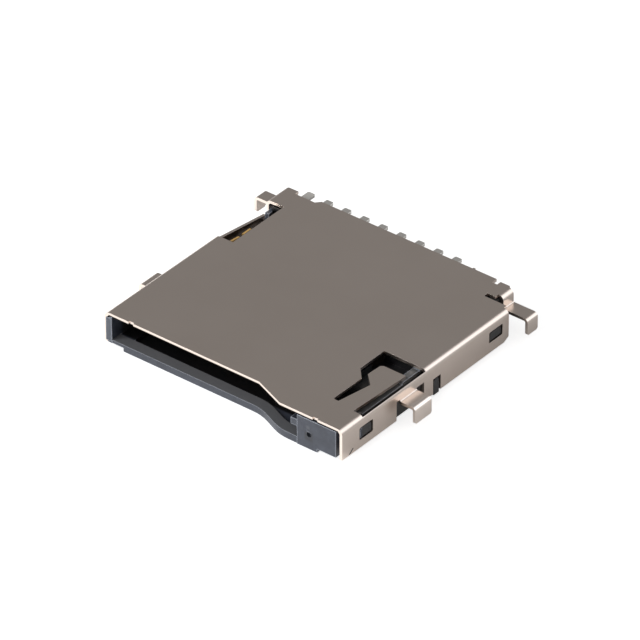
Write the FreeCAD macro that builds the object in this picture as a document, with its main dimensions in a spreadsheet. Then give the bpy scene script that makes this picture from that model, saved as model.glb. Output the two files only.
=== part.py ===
import FreeCAD, Part
import math
import operator
import os
import Sketcher

# A sunk push-push socket for a small memory card: a folded metal shell over a moulded base,
# eight springy card contacts, a card switch of two leaves, and a sprung slider with a heart cam.
# Millimetres. X runs across the card slot, Y from the slot to the tails, Z up from the underside.
# The origin lies on the underside, at the middle of the shell's outline.

os.makedirs("parts", exist_ok=True)
doc = FreeCAD.newDocument("card_socket")

# what a size is measured from
LENGTH = "a length, or a height above the underside"
SIDE = "in from the outer face of the nearer side wall"
PLATE = "down from the top of the plate"
FRONT_EDGE = "back from the front edge of the plate"
REAR_EDGE = "forward from the rear edge of the plate"

SIZES = [
    # the folded shell
    ("shell_width", 14.6, LENGTH, "across the outer faces of the side walls"),
    ("shell_depth", 14.1, LENGTH, "front edge of the plate to its rear edge"),
    ("shell_height", 1.85, LENGTH, "underside of the base to the top of the plate"),
    ("sheet", 0.15, LENGTH, "thickness of the shell's sheet"),
    ("bend", 0.15, LENGTH, "inner radius of the long bends"),
    ("leg_bend", 0.08, LENGTH, "inner radius of the bends in the legs"),
    ("wall_bottom", 0.2, LENGTH, "height of the walls' lower edges"),
    ("wall_end", 1.66, REAR_EDGE, "rear ends of the side walls"),
    ("setback", 0.71, LENGTH, "how far the left part of the front edge stands back"),
    ("setback_from", 5.4, SIDE, "where the front edge starts to come forward"),
    ("setback_to", 3.64, SIDE, "where the front edge has come forward"),
    ("carrier_notch", 0.28, LENGTH, "width of the two small notches in the front edge"),
    ("carrier_deep", 0.08, LENGTH, "depth of the two small notches in the front edge"),
    ("carrier_x", 1.58, SIDE, "middle of the two small notches"),
    ("wall_slope", 0.34, LENGTH, "size of the chamfer at the rear foot of a wall"),
    # the opening over the card switch
    ("notch_front", 5.27, REAR_EDGE, "front edge of the opening over the card switch"),
    ("notch_rear", 1.45, REAR_EDGE, "rear edge of the opening over the card switch"),
    ("notch_inner", 1.07, SIDE, "inner edge of the opening"),
    ("notch_round", 0.2, LENGTH, "rounded inner corner of the opening"),
    ("strip_front_top", 0.25, PLATE, "top of the wall beside the opening, in front"),
    ("strip_rear_top", 0.73, PLATE, "top of the wall beside the opening, at the rear"),
    # the rear edge of the plate
    ("recess_deep", 0.25, LENGTH, "depth of the long recess in the rear edge"),
    ("recess_from", 0.8, SIDE, "outer end of the recess"),
    ("recess_to", 2.2, SIDE, "inner end of the recess"),
    ("recess_slant", 0.22, LENGTH, "slope at the inner end of the recess, across"),
    ("rear_cut_from", 1.99, SIDE, "left side of the cut beside the rear right leg"),
    ("rear_cut_to", 1.7, SIDE, "right side of the cut beside the rear right leg"),
    ("rear_cut_deep", 0.35, LENGTH, "depth of the cut beside the rear right leg"),
    ("rear_slot_from", 1.6, SIDE, "left end of the slot before the rear right leg"),
    ("rear_slot_front", 1.47, REAR_EDGE, "front side of the slot before the rear right leg"),
    ("rear_slot_rear", 1.19, REAR_EDGE, "rear side of the slot before the rear right leg"),
    ("rear_tab", 0.08, REAR_EDGE, "rear edge of the tab that carries the rear right leg"),
    # windows in the side walls
    ("window_round", 0.08, LENGTH, "rounded corners of the wall windows"),
    ("window_1_front", 1.27, FRONT_EDGE, "front side of the first window"),
    ("window_1_rear", 2.26, FRONT_EDGE, "rear side of the first window"),
    ("window_1_low", 1.22, PLATE, "lower side of the first window"),
    ("window_1_top", 0.55, PLATE, "upper side of the first window"),
    ("window_2_front", 6.73, FRONT_EDGE, "front side of the open slot"),
    ("window_2_rear", 7.29, FRONT_EDGE, "rear side of the open slot"),
    ("window_2_top", 0.82, PLATE, "top of the open slot"),
    ("window_3_front", 3.15, REAR_EDGE, "front side of the last window"),
    ("window_3_rear", 2.14, REAR_EDGE, "rear side of the last window"),
    ("window_3_low", 1.1, PLATE, "lower side of the last window"),
    ("window_3_top", 0.51, PLATE, "upper side of the last window"),
    # solder legs
    ("board_top", 1.0, LENGTH, "height of the circuit board's top face"),
    ("leg_front", 4.26, FRONT_EDGE, "front side of the side legs"),
    ("leg_rear", 5.48, FRONT_EDGE, "rear side of the side legs"),
    ("leg_reach", 0.89, LENGTH, "how far the side legs stand out from the walls"),
    ("leg_bottom", 0.25, LENGTH, "lower ends of the right legs"),
    ("leg_gap_front", 4.01, FRONT_EDGE, "front side of the opening round a side leg"),
    ("leg_gap_rear", 6.05, FRONT_EDGE, "rear side of the opening round a side leg"),
    ("leg_gap_top", 1.25, LENGTH, "top of the opening round a side leg"),
    ("leg_point", 0.08, LENGTH, "chamfers at the lower ends of the legs"),
    ("rear_leg_front", 0.96, REAR_EDGE, "front side of the rear right leg"),
    ("rear_leg_rear", 0.18, REAR_EDGE, "rear side of the rear right leg"),
    ("rear_leg_fold", 0.85, SIDE, "outer face of the fold of the rear right leg"),
    ("rear_leg_reach", 0.57, LENGTH, "how far the rear right leg stands out from the walls"),
    ("left_leg_front", 0.79, REAR_EDGE, "front side of the rear left leg"),
    ("left_leg_rear", 0.09, REAR_EDGE, "rear side of the rear left leg"),
    ("left_leg_reach", 1.27, LENGTH, "how far the rear left leg stands out from the walls"),
    ("left_leg_bottom", 0.28, LENGTH, "lower end of the rear left leg"),
    # the spring tongue in the plate
    ("tongue_root", 1.77, FRONT_EDGE, "where the tongue leaves the plate"),
    ("tongue_end", 5.44, FRONT_EDGE, "free end of the tongue"),
    ("tongue_left_root", 1.62, SIDE, "left side of the tongue at its root"),
    ("tongue_left_neck", 1.35, SIDE, "left side of the tongue at its neck"),
    ("tongue_left_head", 2.0, SIDE, "left side of the tongue's head"),
    ("tongue_right", 0.6, SIDE, "right side of the tongue"),
    ("tongue_neck", 3.77, FRONT_EDGE, "where the neck is narrowest"),
    ("tongue_head", 4.42, FRONT_EDGE, "where the head is at full width"),
    ("tongue_corner", 0.2, LENGTH, "rounded left corner of the tongue's head"),
    ("tongue_dip", 2.63, LENGTH, "how far the tongue is bent down, in degrees"),
    ("cut_left_root", 1.92, SIDE, "left side of the cut-out beside the root"),
    ("cut_left_head", 2.46, SIDE, "left side of the cut-out beside the head"),
    ("cut_neck", 3.85, FRONT_EDGE, "where the cut-out starts to widen"),
    ("cut_head", 4.45, FRONT_EDGE, "where the cut-out is at full width"),
    ("cut_rear", 6.21, FRONT_EDGE, "rear side of the cut-out"),
    ("cut_right", 0.06, SIDE, "right side of the cut-out"),
    ("cut_right_front", 1.57, FRONT_EDGE, "front end of the right slot"),
    ("cut_round", 0.12, LENGTH, "rounded corners of the cut-out"),
    # the moulded base
    ("base_gap", 0.03, LENGTH, "gap between the base and the inside of the shell"),
    ("top_gap", 0.05, LENGTH, "gap between the base and the plate"),
    ("floor_top", 0.39, LENGTH, "top of the front band and of the slider's floor"),
    ("card_floor", 0.22, LENGTH, "top of the sunk floor under the card"),
    ("sunk_margin", 0.2, LENGTH, "left side of the sunk floor inside the deep part"),
    ("side_underside", 0.2, LENGTH, "underside of the base beside its deep part"),
    ("deep_left", 1.08, SIDE, "left side of the deep part"),
    ("deep_right", 1.46, SIDE, "right side of the deep part"),
    ("band_deep", 0.6, LENGTH, "front band from front to rear"),
    ("band_setback", 0.03, LENGTH, "front band behind the front edge of the plate"),
    ("band_from", 5.3, SIDE, "where the front band starts to come forward"),
    ("band_to", 3.68, SIDE, "where the front band has come forward"),
    ("band_round", 2.4, LENGTH, "rounding of the front band where it comes forward"),
    ("slot_left", 0.43, SIDE, "left side of the card slot"),
    ("slot_right", 2.63, SIDE, "right side of the card slot"),
    ("rail_chamfer", 0.14, LENGTH, "chamfer on the upper outer edges of the rails"),
    ("block_rear", 1.95, FRONT_EDGE, "rear face of the front block"),
    ("block_right", 0.37, SIDE, "right side of the front block"),
    ("block_top", 0.22, PLATE, "top of the front block"),
    ("card_rib_left", 3.02, SIDE, "left side of the rib that guides the card"),
    ("card_rib_low", 0.9, PLATE, "underside of the rib that guides the card"),
    ("card_rib_top", 0.53, PLATE, "top of the rib that guides the card"),
    ("guide_rib", 0.22, LENGTH, "thickness of the rib beside the slider"),
    ("guide_rib_top", 1.13, PLATE, "top of the rib beside the slider"),
    ("rail_inner", 0.43, SIDE, "inner face of the right rail"),
    ("rail_top", 0.75, PLATE, "top of the right rail behind the front block"),
    ("rear_wall", 1.1, REAR_EDGE, "front face of the rear wall"),
    ("post_front", 1.55, REAR_EDGE, "front face of the post at the left end of the rear wall"),
    ("post_inner", 0.85, SIDE, "inner face of the post at the left end of the rear wall"),
    ("base_rear", 0.25, REAR_EDGE, "rear face of the base"),
    ("spring_wall", 1.75, REAR_EDGE, "face that the slider's spring stands against"),
    ("rear_right_end", 1.08, SIDE, "right end of the rear wall"),
    ("lug_gap", 0.08, LENGTH, "gap between a lug and its window"),
    ("lug_step", 0.03, LENGTH, "lug face behind the wall's outer face"),
    ("lug_hang", 0.12, LENGTH, "how far the middle lugs reach below the walls"),
    ("lug_round", 0.16, LENGTH, "rounded upper corners of the lugs"),
    ("dimple_x", 1.93, SIDE, "middle of the dimple in the front block"),
    ("dimple_z", 1.05, PLATE, "height of the dimple in the front block"),
    ("dimple_radius", 0.13, LENGTH, "radius of the dimple"),
    ("dimple_deep", 0.12, LENGTH, "depth of the dimple"),
    ("window_gap", 0.12, LENGTH, "floor opening beside each contact"),
    ("window_front", 5.05, REAR_EDGE, "front ends of the floor openings"),
    ("window_rear", 1.2, REAR_EDGE, "rear ends of the floor openings"),
    # card contacts
    ("pitch", 1.1, LENGTH, "contact to contact"),
    ("first_contact", 1.83, SIDE, "middle of the first contact"),
    ("contact_width", 0.42, LENGTH, "width of a contact"),
    ("contact_sheet", 0.15, LENGTH, "thickness of a contact"),
    ("tail_reach", 1.13, LENGTH, "how far the tails stand out behind the plate"),
    ("tail_corner", 0.05, LENGTH, "corners cut off the ends of the tails"),
    ("contact_bend", 0.06, LENGTH, "inner radius of the bends in the contacts"),
    ("contact_drop", 0.6, REAR_EDGE, "rear face of the upright part of a contact"),
    ("contact_foot", 0.1, LENGTH, "underside of the foot of a contact"),
    ("arm_start", 1.35, REAR_EDGE, "where the arm starts to rise"),
    ("arm_top", 3.95, REAR_EDGE, "where the arm is highest"),
    ("arm_height", 1.15, LENGTH, "underside of the arm at its highest place"),
    ("arm_tip", 4.7, REAR_EDGE, "front end of the arm"),
    ("arm_tip_height", 0.9, LENGTH, "underside of the arm at its front end"),
    ("arm_round", 0.25, LENGTH, "rounding of the arm's highest place"),
    # card switch
    ("switch_tail_x", 0.71, SIDE, "middle of the switch's tail"),
    ("leaf", 0.1, LENGTH, "thickness of the switch leaves"),
    ("leaf_low", 0.7, LENGTH, "lower edge of the springy leaf"),
    ("leaf_top", 0.4, PLATE, "upper edge of the springy leaf"),
    ("leaf_root", 1.07, REAR_EDGE, "rear end of the free part of the springy leaf"),
    ("leaf_root_x", 0.5, SIDE, "outer face of the springy leaf at its root"),
    ("leaf_bump_x", 0.57, SIDE, "outer face of the springy leaf at its bump"),
    ("leaf_bump_rear", 3.39, REAR_EDGE, "rear end of the bump"),
    ("leaf_bump_front", 4.25, REAR_EDGE, "front end of the bump"),
    ("leaf_tip", 4.79, REAR_EDGE, "front end of the springy leaf"),
    ("leaf_step", 3.99, REAR_EDGE, "rear side of the gap in the leaf's upper edge"),
    ("leaf_step_deep", 0.23, LENGTH, "depth of the gap in the leaf's upper edge"),
    ("fixed_front", 4.65, REAR_EDGE, "front end of the fixed leaf"),
    ("fixed_rear", 1.95, REAR_EDGE, "rear end of the fixed leaf"),
    ("fixed_low", 0.5, LENGTH, "lower edge of the fixed leaf"),
    ("fixed_top", 1.0, LENGTH, "upper edge of the fixed leaf"),
    ("fixed_pad_reach", 0.06, LENGTH, "how far the pads stand out of the fixed leaf"),
    ("fixed_pad", 0.55, LENGTH, "length of a pad on the fixed leaf"),
    ("fixed_pad_1", 4.45, REAR_EDGE, "front end of the first pad"),
    ("fixed_pad_2", 3.6, REAR_EDGE, "front end of the second pad"),
    # slider with heart cam
    ("slide_gap", 0.05, LENGTH, "gap on each side of the slider"),
    ("slide_lift", 0.02, LENGTH, "gap under the slider"),
    ("travel", 2.4, LENGTH, "full stroke of the slider"),
    ("slider_front", 2.05, FRONT_EDGE, "front end of the slider at rest"),
    ("slider_rear", 7.65, FRONT_EDGE, "rear end of the slider at rest"),
    ("slider_top", 0.63, PLATE, "upper face of the slider"),
    ("slider_rail_top", 0.3, PLATE, "top of the slider's right edge"),
    ("slider_rail_left", 0.85, SIDE, "left side of the slider's right edge"),
    ("slider_rail_step", 5.05, FRONT_EDGE, "front end of the high part of the right edge"),
    ("slider_rail_rear", 6.35, FRONT_EDGE, "rear end of the high part of the right edge"),
    ("slider_rail_low", 0.4, PLATE, "top of the low part of the right edge"),
    ("claw_left", 4.32, SIDE, "left end of the claw that the card pushes"),
    ("claw_front", 3.5, FRONT_EDGE, "front face of the claw at its left end"),
    ("claw_deep", 1.0, LENGTH, "claw from front to rear"),
    ("claw_slope", 0.8, LENGTH, "slope of the claw's front face, along Y"),
    ("claw_low", 1.05, PLATE, "underside of the claw"),
    ("claw_top", 0.25, PLATE, "top of the claw"),
    ("groove", 0.4, LENGTH, "width of the cam groove"),
    ("groove_deep", 0.42, LENGTH, "depth of the cam groove"),
    ("cam_reach", 0.45, LENGTH, "sideways reach of the cam groove at full stroke"),
    ("heart_back", 1.15, LENGTH, "rear point of the heart from the groove's start"),
    ("heart_notch", 0.32, LENGTH, "depth of the notch in the heart"),
    ("heart_half", 0.24, LENGTH, "half width of the heart"),
    # pin that follows the cam
    ("pin_wire", 0.28, LENGTH, "diameter of the pin's wire"),
    ("pin_x", 1.3, SIDE, "axis of the pin's swing, across"),
    ("pin_y", 1.01, FRONT_EDGE, "axis of the pin's swing, along"),
    ("pin_length", 3.9, LENGTH, "pin from its swing axis to its hooked end"),
    ("pin_start", 0.25, LENGTH, "hooked end left of the swing axis, slider at rest"),
    ("pin_z", 0.45, PLATE, "height of the pin's axis"),
    ("pin_bend", 0.2, LENGTH, "bend radius of the pin's wire"),
    ("pin_root_low", 0.7, LENGTH, "lower end of the pin in the block"),
    ("pin_hook_low", 0.93, PLATE, "lower end of the pin in the cam groove"),
    ("pin_fit", 0.03, LENGTH, "clearance round the pin in its hole"),
    ("pin_swing", 0.12, LENGTH, "room beside the pin in the block's groove"),
    # slider spring
    ("coil_wire", 0.18, LENGTH, "diameter of the spring's wire"),
    ("coil_radius", 0.42, LENGTH, "radius to the middle of the spring's wire"),
    ("coil_turns", 7.0, LENGTH, "turns of the spring"),
    ("coil_z", 0.95, LENGTH, "height of the spring's axis"),
    ("peg_radius", 0.27, LENGTH, "radius of the pegs inside the spring"),
    ("peg_length", 0.6, LENGTH, "length of the pegs inside the spring"),
    ("spring_pocket", 0.5, LENGTH, "depth of the slider's pocket for the spring"),
]

CONTACTS = 8
WIRE_SIDES = 8
SHEET_NAME = "Sizes"


class Size:
    """A length held with the sheet expression that gives it."""

    def __init__(self, value, text):
        self.value = value
        self.text = text

    def __add__(self, other):
        return combined(self, "+", other)

    def __sub__(self, other):
        return combined(self, "-", other)

    def __mul__(self, other):
        return combined(self, "*", other)

    def __truediv__(self, other):
        return combined(self, "/", other)

    def __neg__(self):
        return Size(-self.value, "(-1 * %s)" % self.text)


OPERATORS = {"+": operator.add, "-": operator.sub, "*": operator.mul, "/": operator.truediv}


def combined(left, sign, right):
    """The sum, difference, product or quotient of a size and a size or plain factor."""
    if not isinstance(right, Size):
        right = Size(float(right), str(right))
    value = OPERATORS[sign](left.value, right.value)
    return Size(value, "(%s %s %s)" % (left.text, sign, right.text))


class Sizes:
    """Every named size, kept in the spreadsheet; a place is handed out as measured from the origin."""

    def __init__(self, rows):
        sheet = doc.addObject("Spreadsheet::Sheet", SHEET_NAME)
        for row, (name, value, measured, note) in enumerate(rows, start=1):
            sheet.set("A%d" % row, name)
            sheet.set("B%d" % row, str(value))
            sheet.set("C%d" % row, note)
            sheet.set("D%d" % row, measured)
            sheet.setAlias("B%d" % row, name)
            setattr(self, name, self.place(Size(value, "%s.%s" % (SHEET_NAME, name)), measured))
        doc.recompute()

    def place(self, size, measured):
        """The size itself, or where it lies from the origin; places from a side wall come out positive."""
        if measured == SIDE:
            return self.shell_width / 2 - size
        if measured == PLATE:
            return self.shell_height - size
        if measured == FRONT_EDGE:
            return size - self.shell_depth / 2
        if measured == REAR_EDGE:
            return self.shell_depth / 2 - size
        return size


d = Sizes(SIZES)
ZERO = Size(0.0, "0")


# helpers

PLANES = {"X": ("YZ_Plane", 1), "Y": ("XZ_Plane", -1), "Z": ("XY_Plane", 1)}


def new_body(name):
    """An empty body with its own label."""
    body = doc.addObject("PartDesign::Body", name)
    body.Label = name
    return body


def origin_plane(body, role):
    """The body's own origin plane with that role."""
    return next(part for part in body.Origin.OriginFeatures if part.Role == role)


def new_sketch(body, name, axis, height):
    """A sketch square to an axis, at a height along it."""
    role, sense = PLANES[axis]
    sketch = body.newObject("Sketcher::SketchObject", name)
    sketch.AttachmentSupport = (origin_plane(body, role), [""])
    sketch.MapMode = "FlatFace"
    offset = height if sense > 0 else -height
    sketch.AttachmentOffset = FreeCAD.Placement(FreeCAD.Vector(0, 0, offset.value), FreeCAD.Rotation())
    sketch.setExpression("AttachmentOffset.Base.z", offset.text)
    sketch.Visibility = False
    return sketch


def fix(sketch, kind, places, size):
    """Add one driving dimension and tie it to its expression."""
    index = sketch.addConstraint(Sketcher.Constraint(kind, *places, size.value))
    sketch.setExpression("Constraints[%d]" % index, size.text)


def fix_point(sketch, geometry, end, across, up):
    """Hold one point of a sketch at its place from the sketch's origin."""
    fix(sketch, "DistanceX", (-1, 1, geometry, end), across)
    fix(sketch, "DistanceY", (-1, 1, geometry, end), up)


def draw_ring(sketch, across, up, radius):
    """A full circle."""
    middle = FreeCAD.Vector(across.value, up.value, 0)
    ring = sketch.addGeometry(Part.Circle(middle, FreeCAD.Vector(0, 0, 1), radius.value), False)
    fix_point(sketch, ring, 3, across, up)
    fix(sketch, "Radius", (ring,), radius)


def corner_ends(places, index, radius):
    """Where the straight sides stop at a rounded corner, and the middle of its arc."""
    here = places[index]
    back = (places[index - 1] - here).normalize()
    ahead = (places[(index + 1) % len(places)] - here).normalize()
    half = back.getAngle(ahead) / 2
    reach = radius / math.tan(half)
    middle = here + (back + ahead).normalize() * (radius / math.sin(half))
    return here + back * reach, here + ahead * reach, middle


def draw_loop(sketch, corners):
    """A closed outline through corners (across, up) or (across, up, radius of a tangent arc)."""
    places = [FreeCAD.Vector(corner[0].value, corner[1].value, 0) for corner in corners]
    count = len(corners)
    ends = []
    for index, corner in enumerate(corners):
        rounded = len(corner) > 2
        ends.append(corner_ends(places, index, corner[2].value) if rounded else (places[index],) * 3)
    sides = []
    for index in range(count):
        line = Part.LineSegment(ends[index][1], ends[(index + 1) % count][0])
        sides.append(sketch.addGeometry(line, False))
    for index, corner in enumerate(corners):
        before = sides[index - 1]
        after = sides[index]
        if len(corner) == 2:
            sketch.addConstraint(Sketcher.Constraint("Coincident", before, 2, after, 1))
            fix_point(sketch, after, 1, corner[0], corner[1])
            continue
        entry, leave, middle = ends[index]
        left_turn = (entry - middle).cross(leave - middle).z > 0
        first, last = (entry, leave) if left_turn else (leave, entry)
        angles = [math.atan2(place.y - middle.y, place.x - middle.x) for place in (first, last)]
        circle = Part.Circle(middle, FreeCAD.Vector(0, 0, 1), corner[2].value)
        arc = sketch.addGeometry(Part.ArcOfCircle(circle, angles[0], angles[1]), False)
        point = sketch.addGeometry(Part.Point(places[index]), True)
        near = 1 if left_turn else 2
        sketch.addConstraint(Sketcher.Constraint("Tangent", before, 2, arc, near))
        sketch.addConstraint(Sketcher.Constraint("Tangent", arc, 3 - near, after, 1))
        fix(sketch, "Radius", (arc,), corner[2])
        fix_point(sketch, point, 1, corner[0], corner[1])
        sketch.addConstraint(Sketcher.Constraint("PointOnObject", point, 1, before))
        sketch.addConstraint(Sketcher.Constraint("PointOnObject", point, 1, after))


def shape_run(body, kind, name, axis, low, high, loops):
    """Pad or pocket the loops from low to high along an axis; a loop of three sizes is a ring."""
    sense = PLANES[axis][1]
    start = low if (kind == "Pad") == (sense > 0) else high
    sketch = new_sketch(body, name + "_outline", axis, start)
    for loop in loops:
        if isinstance(loop[0], Size):
            draw_ring(sketch, *loop)
        else:
            draw_loop(sketch, loop)
    made = body.newObject("PartDesign::" + kind, name)
    made.Profile = sketch
    made.Length = (high - low).value
    made.setExpression("Length", (high - low).text)
    return made


def add(body, name, axis, low, high, *loops):
    """Material between two heights along an axis."""
    return shape_run(body, "Pad", name, axis, low, high, loops)


def cut(body, name, axis, low, high, *loops):
    """A pocket between two heights along an axis."""
    return shape_run(body, "Pocket", name, axis, low, high, loops)


def box(left, right, bottom, top):
    """Corners of a rectangle."""
    return [(left, bottom), (right, bottom), (right, top), (left, top)]


def round_box(left, right, bottom, top, radius):
    """Corners of a rectangle with all four corners rounded."""
    return [corner + (radius,) for corner in box(left, right, bottom, top)]


def repeat(body, feature, name, axis_role, count, step):
    """Repeat a feature in a row along one of the body's axes."""
    body.Tip = feature
    row = body.newObject("PartDesign::LinearPattern", name)
    row.Originals = [feature]
    row.Direction = (next(part for part in body.Origin.OriginFeatures if part.Role == axis_role), [""])
    row.Mode = "Spacing"
    row.Occurrences = count
    row.Offset = step.value
    row.setExpression("Offset", step.text)
    body.Tip = row
    return row


def bevel(body, name, size, chosen):
    """Chamfer the edges of the newest shape that the test picks out by their middle and direction."""
    doc.recompute()
    base = body.Tip
    names = []
    for index, edge in enumerate(base.Shape.Edges, start=1):
        ends = [vertex.Point for vertex in edge.Vertexes]
        if len(ends) < 2:
            continue
        if chosen((ends[0] + ends[1]) / 2, ends[1] - ends[0]):
            names.append("Edge%d" % index)
    made = body.newObject("PartDesign::Chamfer", name)
    made.Base = (base, names)
    made.Size = size.value
    made.setExpression("Size", size.text)
    return made


NEAR = 0.02


def near(value, size):
    """Whether a place lies on a size."""
    return abs(value - size.value) < NEAR


# heights and faces that several pieces share
HALF_WIDTH = d.shell_width / 2
INNER = HALF_WIDTH - d.sheet
FRONT = -(d.shell_depth / 2)
REAR = d.shell_depth / 2
TAIL_END = REAR + d.tail_reach
LEFT_FRONT = FRONT + d.setback
PLATE_TOP = d.shell_height
PLATE_UNDER = d.shell_height - d.sheet
OUTER_BEND = d.bend + d.sheet
LEG_OUTER_BEND = d.leg_bend + d.sheet
LEG_TOP = d.board_top + d.sheet
BEYOND = d.sheet * 4


def add_leg(body, name, side, root, out, bottom, front, rear):
    """A solder leg on one side: down from its root, out over the board, then down through it."""
    inner_root = root - d.sheet
    add(body, name, "Y", front, rear, [
        (inner_root * side, d.leg_gap_top + d.leg_bend),
        (root * side, d.leg_gap_top + d.leg_bend),
        (root * side, LEG_TOP, d.leg_bend),
        (out * side, LEG_TOP, LEG_OUTER_BEND),
        (out * side, bottom),
        ((out - d.sheet) * side, bottom),
        ((out - d.sheet) * side, d.board_top, d.leg_bend),
        (inner_root * side, d.board_top, LEG_OUTER_BEND),
    ])
    bevel(body, name + "_point", d.leg_point, lambda middle, way: (
        near(middle.z, bottom) and abs(way.x) > NEAR
        and abs(abs(middle.x) - (out - d.sheet / 2).value) < NEAR
        and (near(middle.y, front) or near(middle.y, rear))
    ))


def build_shell():
    """The folded sheet: plate and side walls, the openings in them, the tongue and four legs."""
    body = new_body("metal_shell")
    add(body, "folded_sheet", "Y", FRONT, REAR, [
        (-HALF_WIDTH, d.wall_bottom),
        (-INNER, d.wall_bottom),
        (-INNER, PLATE_UNDER, d.bend),
        (INNER, PLATE_UNDER, d.bend),
        (INNER, d.wall_bottom),
        (HALF_WIDTH, d.wall_bottom),
        (HALF_WIDTH, PLATE_TOP, OUTER_BEND),
        (-HALF_WIDTH, PLATE_TOP, OUTER_BEND),
    ])
    low = d.wall_bottom - d.sheet
    high = PLATE_TOP + d.sheet
    cut(body, "front_setback", "Z", low, high, [
        (-HALF_WIDTH - BEYOND, FRONT - BEYOND),
        (d.setback_to, FRONT - BEYOND),
        (d.setback_to, FRONT),
        (d.setback_from, LEFT_FRONT),
        (-HALF_WIDTH - BEYOND, LEFT_FRONT),
    ])
    for name, side, edge in (("left", -1, LEFT_FRONT), ("right", 1, FRONT)):
        middle = d.carrier_x * side
        cut(body, name + "_carrier_notch", "Z", PLATE_UNDER - d.sheet, high, box(
            middle - d.carrier_notch / 2, middle + d.carrier_notch / 2, edge - BEYOND, edge + d.carrier_deep))
    cut(body, "rear_recess", "Z", PLATE_UNDER - d.sheet, high, [
        (-d.recess_from, REAR - d.recess_deep),
        (-d.recess_to - d.recess_slant, REAR - d.recess_deep),
        (-d.recess_to, REAR),
        (-d.recess_to, REAR + BEYOND),
        (-d.recess_from, REAR + BEYOND),
    ])
    cut(body, "rear_cut", "Z", PLATE_UNDER - d.sheet, high, box(
        d.rear_cut_from, d.rear_cut_to, REAR - d.rear_cut_deep, REAR + BEYOND))
    cut(body, "rear_tab_edge", "Z", PLATE_UNDER - d.sheet, high, box(
        d.rear_cut_to - d.sheet, HALF_WIDTH + BEYOND, d.rear_tab, REAR + BEYOND))
    cut(body, "right_wall_end", "Z", low, high, [
        (d.rear_leg_fold - OUTER_BEND, d.rear_slot_rear),
        (d.rear_slot_from, d.rear_slot_rear),
        (d.rear_slot_from, d.rear_slot_front),
        (INNER - d.bend, d.rear_slot_front),
        (INNER - d.bend, d.wall_end),
        (HALF_WIDTH + BEYOND, d.wall_end),
        (HALF_WIDTH + BEYOND, REAR + BEYOND),
        (d.rear_leg_fold - OUTER_BEND, REAR + BEYOND),
    ])
    cut(body, "switch_opening", "Z", d.strip_front_top, high, [
        (-HALF_WIDTH - BEYOND, d.notch_front),
        (-d.notch_inner, d.notch_front, d.notch_round),
        (-d.notch_inner, d.notch_rear),
        (-HALF_WIDTH - BEYOND, d.notch_rear),
    ])
    cut(body, "falling_edge", "X", -HALF_WIDTH - BEYOND, -d.notch_inner, [
        (d.notch_front, d.strip_front_top),
        (d.wall_end, d.strip_rear_top),
        (d.wall_end, d.wall_bottom - d.sheet),
        (d.notch_rear, d.wall_bottom - d.sheet),
        (d.notch_rear, PLATE_TOP),
        (d.notch_front, PLATE_TOP),
    ])
    cut(body, "left_wall_end", "X", -HALF_WIDTH - BEYOND, -d.notch_inner, box(
        d.notch_rear - d.sheet, REAR + BEYOND, d.wall_bottom - d.sheet, d.leg_gap_top))
    for name, side in (("left", -1), ("right", 1)):
        outer = HALF_WIDTH * side
        inner = (INNER - d.bend) * side
        ends = (inner, outer) if side > 0 else (outer, inner)
        cut(body, name + "_wall_foot", "X", *ends, [
            (d.wall_end - d.wall_slope, d.wall_bottom - d.sheet),
            (d.wall_end + d.sheet, d.wall_bottom - d.sheet),
            (d.wall_end + d.sheet, d.wall_bottom + d.wall_slope / 2 + d.sheet / 2),
            (d.wall_end - d.wall_slope, d.wall_bottom),
        ])
        cut(body, name + "_first_window", "X", *ends, round_box(
            d.window_1_front, d.window_1_rear, d.window_1_low, d.window_1_top, d.window_round))
        cut(body, name + "_open_slot", "X", *ends, box(
            d.window_2_front, d.window_2_rear, d.wall_bottom - d.sheet, d.window_2_top))
        cut(body, name + "_leg_opening", "X", *ends, box(
            d.leg_gap_front, d.leg_gap_rear, d.wall_bottom - d.sheet, d.leg_gap_top))
        add_leg(body, name + "_side_leg", side, HALF_WIDTH, HALF_WIDTH + d.leg_reach,
                d.leg_bottom, d.leg_front, d.leg_rear)
    cut(body, "right_last_window", "X", INNER - d.bend, HALF_WIDTH, round_box(
        d.window_3_front, d.window_3_rear, d.window_3_low, d.window_3_top, d.window_round))
    fold = d.rear_leg_fold
    add(body, "rear_right_fold", "Y", d.rear_leg_front, d.rear_leg_rear, [
        (fold - OUTER_BEND - d.sheet, PLATE_UNDER),
        (fold - d.sheet, PLATE_UNDER, d.bend),
        (fold - d.sheet, d.leg_gap_top),
        (fold, d.leg_gap_top),
        (fold, PLATE_TOP, OUTER_BEND),
        (fold - OUTER_BEND - d.sheet, PLATE_TOP),
    ])
    add_leg(body, "rear_right_leg", 1, fold, HALF_WIDTH + d.rear_leg_reach, d.leg_bottom,
            d.rear_leg_front, d.rear_leg_rear)
    add_leg(body, "rear_left_leg", -1, HALF_WIDTH, HALF_WIDTH + d.left_leg_reach, d.left_leg_bottom,
            d.left_leg_front, d.left_leg_rear)
    cut(body, "tongue_cut_out", "Z", PLATE_UNDER - OUTER_BEND, high, [
        (d.cut_left_root, d.tongue_root, d.cut_round),
        (d.tongue_left_root, d.tongue_root),
        (d.tongue_right, d.tongue_root),
        (d.tongue_right, d.cut_right_front),
        (d.cut_right, d.cut_right_front),
        (d.cut_right, d.cut_rear),
        (d.cut_left_head, d.cut_rear),
        (d.cut_left_head, d.cut_head),
        (d.cut_left_root, d.cut_neck),
    ])
    sketch = new_sketch(body, "tongue_outline", "Z", PLATE_TOP)
    tilt = FreeCAD.Rotation(FreeCAD.Vector(1, 0, 0), -d.tongue_dip.value)
    sketch.AttachmentOffset = FreeCAD.Placement(
        FreeCAD.Vector(0, d.tongue_root.value, PLATE_TOP.value), tilt)
    sketch.setExpression("AttachmentOffset.Base.y", d.tongue_root.text)
    sketch.setExpression("AttachmentOffset.Base.z", PLATE_TOP.text)
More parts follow.
